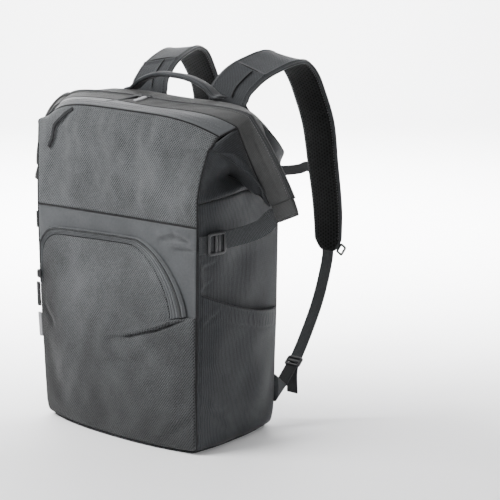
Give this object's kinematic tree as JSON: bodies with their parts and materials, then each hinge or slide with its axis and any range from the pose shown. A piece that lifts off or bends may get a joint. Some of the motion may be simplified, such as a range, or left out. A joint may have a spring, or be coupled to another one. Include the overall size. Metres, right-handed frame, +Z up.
{
  "type": "camera backpack",
  "caption": "Upright camera backpack with a gable-folded zipped top, ear tabs buckled down by side straps, arched front pocket, side pockets, padded shoulder straps and grab handle.",
  "frame": {"origin": "centre of the base's underside, on the floor it stands on", "axes": "+Z up, the front faces -Y, the back panel and shoulder straps face +Y, +X is the right side seen from the front"},
  "size_m": [0.499, 0.3492, 0.5272],
  "materials": {
    "textured_fabric": "fine diagonal dobby weave, matt",
    "smooth_fabric": "smooth coated cloth with a slight sheen",
    "dark_fabric": "smooth cloth with fine vertical lines, matt",
    "air_mesh": "padded knitted mesh, matt",
    "webbing": "woven tape, matt",
    "moulded_plastic": "moulded, satin"
  },
  "bodies": {
    "root": {"front_pocket": "textured_fabric", "upper_front_panel": "textured_fabric", "front_panel": "smooth_fabric", "top_front_strip": "smooth_fabric", "top_facing_front": "smooth_fabric", "top_facing_back": "smooth_fabric", "top_back_strip": "smooth_fabric", "base_panel": "dark_fabric", "grab_handle": "dark_fabric", "side_panel_R": "dark_fabric", "side_panel_L": "dark_fabric", "gusset_R": "dark_fabric", "gusset_L": "dark_fabric", "side_pocket_R": "dark_fabric", "side_pocket_L": "dark_fabric", "ear_tab_R": "dark_fabric", "ear_tab_L": "dark_fabric", "strap_wing_R": "dark_fabric", "strap_wing_L": "dark_fabric", "back_panel": "air_mesh", "shoulder_strap_R": "air_mesh", "shoulder_strap_L": "air_mesh", "pocket_zip_band": "webbing", "main_zip": "webbing", "zip_pull_left": "webbing", "upper_pull": "webbing", "pocket_pull_upper": "webbing", "side_strap_R": "webbing", "side_strap_L": "webbing", "strap_webbing_R": "webbing", "strap_webbing_L": "webbing", "webbing_tail_R": "webbing", "webbing_tail_L": "webbing", "lower_webbing_R": "webbing", "lower_webbing_L": "webbing", "sternum_strap_R": "webbing", "sternum_strap_L": "webbing", "sternum_buckle": "moulded_plastic", "zip_slider_left": "moulded_plastic", "zip_slider_right": "moulded_plastic", "zip_pull_right": "moulded_plastic", "pocket_slider": "moulded_plastic", "pocket_pull_lower": "moulded_plastic", "side_buckle_R": "moulded_plastic", "side_buckle_L": "moulded_plastic", "ladder_lock_R": "moulded_plastic", "ladder_lock_L": "moulded_plastic", "strap_loop_R": "moulded_plastic", "strap_loop_L": "moulded_plastic"}
  },
  "joints": []
}
